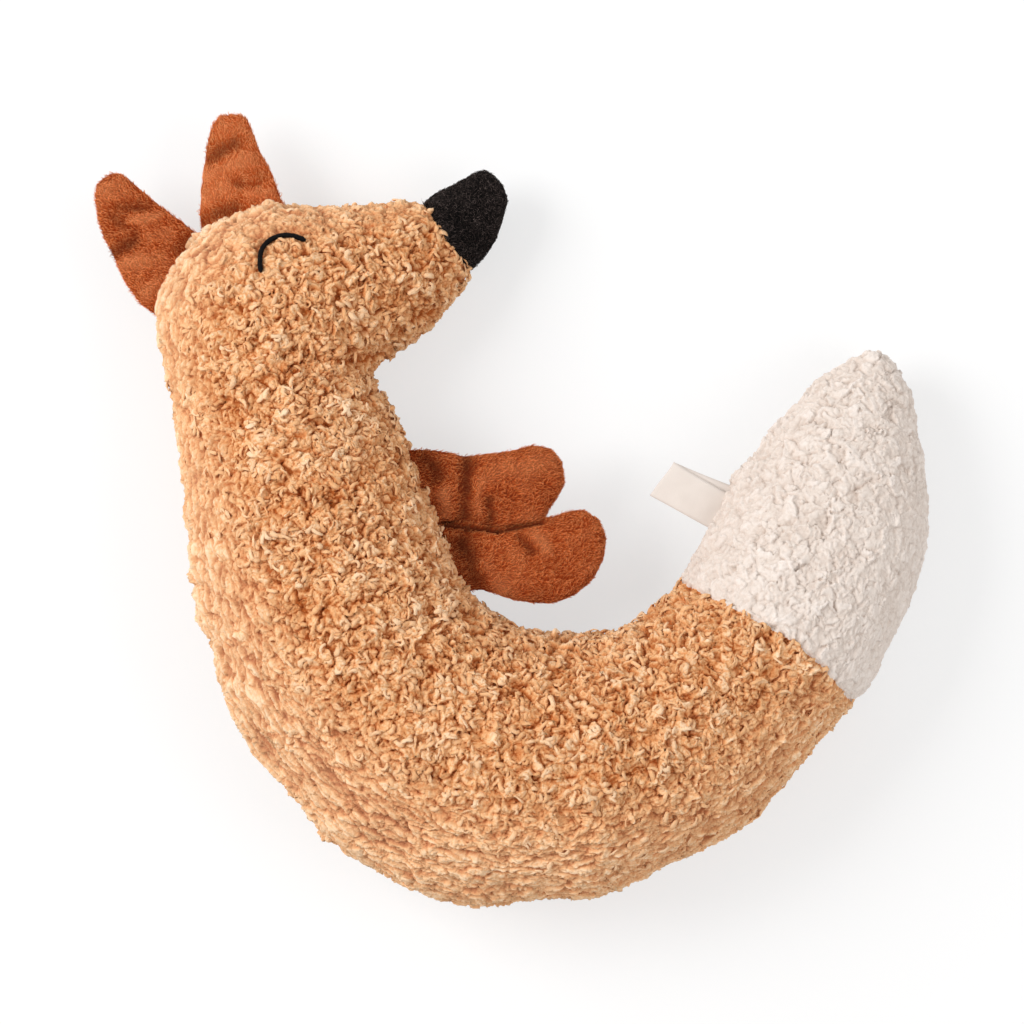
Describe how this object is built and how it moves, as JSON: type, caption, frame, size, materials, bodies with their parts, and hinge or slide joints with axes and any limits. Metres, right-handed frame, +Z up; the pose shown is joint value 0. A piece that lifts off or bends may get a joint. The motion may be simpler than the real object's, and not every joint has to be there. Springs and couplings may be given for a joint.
{
  "type": "plush fox",
  "caption": "Soft stuffed fox curled into a crescent, with a bending neck and tail, flapping ears and paws, and a blank ribbon label, to cuddle or lay down.",
  "frame": {"origin": "middle of the ground area that the lying toy covers, on the surface that it lies on", "axes": "+Z up through the thickness of the toy as it lies on its side, +X from the head's back to the tail, +Y from the belly's curve to the ears"},
  "size_m": [0.3522, 0.3324, 0.0868],
  "materials": {
    "tan_curly_cloth": "curly long-loop pile, matt, caramel tan",
    "cream_curly_cloth": "curly long-loop pile, matt, warm cream",
    "rust_plush": "short dense plush with a soft sheen, rust brown",
    "black_felt": "fuzzy wool felt, matt, black",
    "black_thread": "satin embroidery thread, black",
    "cream_ribbon": "smooth woven ribbon, blank, pale cream",
    "fibre_filling": "loose polyester fibre, white"
  },
  "bodies": {
    "torso": {"neck_upper_panel": "tan_curly_cloth", "neck_lower_panel": "tan_curly_cloth", "neck_filling": "fibre_filling", "chest_upper_panel": "tan_curly_cloth", "chest_lower_panel": "tan_curly_cloth", "chest_filling": "fibre_filling", "belly_upper_panel": "tan_curly_cloth", "belly_lower_panel": "tan_curly_cloth", "belly_filling": "fibre_filling", "tail_root_upper_panel": "tan_curly_cloth", "tail_root_lower_panel": "tan_curly_cloth", "tail_root_filling": "fibre_filling"},
    "head": {"head_upper_panel": "tan_curly_cloth", "head_lower_panel": "tan_curly_cloth", "head_filling": "fibre_filling", "nose_upper_panel": "black_felt", "nose_lower_panel": "black_felt", "nose_filling": "fibre_filling", "upper_eye_stitching": "black_thread", "lower_eye_stitching": "black_thread"},
    "tail": {"tail_upper_panel": "tan_curly_cloth", "tail_lower_panel": "tan_curly_cloth", "tail_filling": "fibre_filling", "tail_tip_upper_panel": "cream_curly_cloth", "tail_tip_lower_panel": "cream_curly_cloth", "tail_tip_filling": "fibre_filling"},
    "rear_ear": {"rear_ear_upper_panel": "rust_plush", "rear_ear_lower_panel": "rust_plush"},
    "front_ear": {"front_ear_upper_panel": "rust_plush", "front_ear_lower_panel": "rust_plush"},
    "upper_paw": {"upper_paw_upper_panel": "rust_plush", "upper_paw_lower_panel": "rust_plush", "upper_paw_filling": "fibre_filling"},
    "lower_paw": {"lower_paw_upper_panel": "rust_plush", "lower_paw_lower_panel": "rust_plush", "lower_paw_filling": "fibre_filling"},
    "label": {"ribbon_label": "cream_ribbon"}
  },
  "joints": [
    {"name": "neck_bend", "type": "hinge", "parent": "torso", "child": "head", "pos_m": [-0.10001, 0.05401, 0.0362], "axis": [0, 0, 1], "range_deg": [-15, 15], "stiffness_Nm_per_rad": 0.6, "deforming": ["neck_upper_panel", "neck_lower_panel", "neck_filling"]},
    {"name": "tail_bend", "type": "hinge", "parent": "torso", "child": "tail", "pos_m": [0.03893, -0.10755, 0.04412], "axis": [0, 0, 1], "range_deg": [-15, 15], "stiffness_Nm_per_rad": 0.6, "deforming": ["tail_root_upper_panel", "tail_root_lower_panel", "tail_root_filling"]},
    {"name": "rear_ear_flap", "type": "hinge", "parent": "head", "child": "rear_ear", "pos_m": [-0.14238, 0.10026, 0.03426], "axis": [0.4691, 0.8831, 0], "range_deg": [-35, 60], "stiffness_Nm_per_rad": 0.005},
    {"name": "front_ear_flap", "type": "hinge", "parent": "head", "child": "front_ear", "pos_m": [-0.11212, 0.12509, 0.03074], "axis": [0.9495, 0.3137, 0], "range_deg": [-35, 60], "stiffness_Nm_per_rad": 0.005},
    {"name": "upper_paw_flap", "type": "hinge", "parent": "torso", "child": "upper_paw", "pos_m": [-0.03393, 0.011, 0.03998], "axis": [0.3167, -0.9485, 0], "range_deg": [-35, 60], "stiffness_Nm_per_rad": 0.01},
    {"name": "lower_paw_flap", "type": "hinge", "parent": "torso", "child": "lower_paw", "pos_m": [-0.01874, -0.02443, 0.04262], "axis": [0.4979, -0.8672, 0], "range_deg": [-35, 60], "stiffness_Nm_per_rad": 0.01},
    {"name": "label_flap", "type": "hinge", "parent": "tail", "child": "label", "pos_m": [0.08609, 0.00118, 0.0325], "axis": [0.4975, 0.8675, 0], "range_deg": [-75, 75], "stiffness_Nm_per_rad": 0.0002}
  ]
}
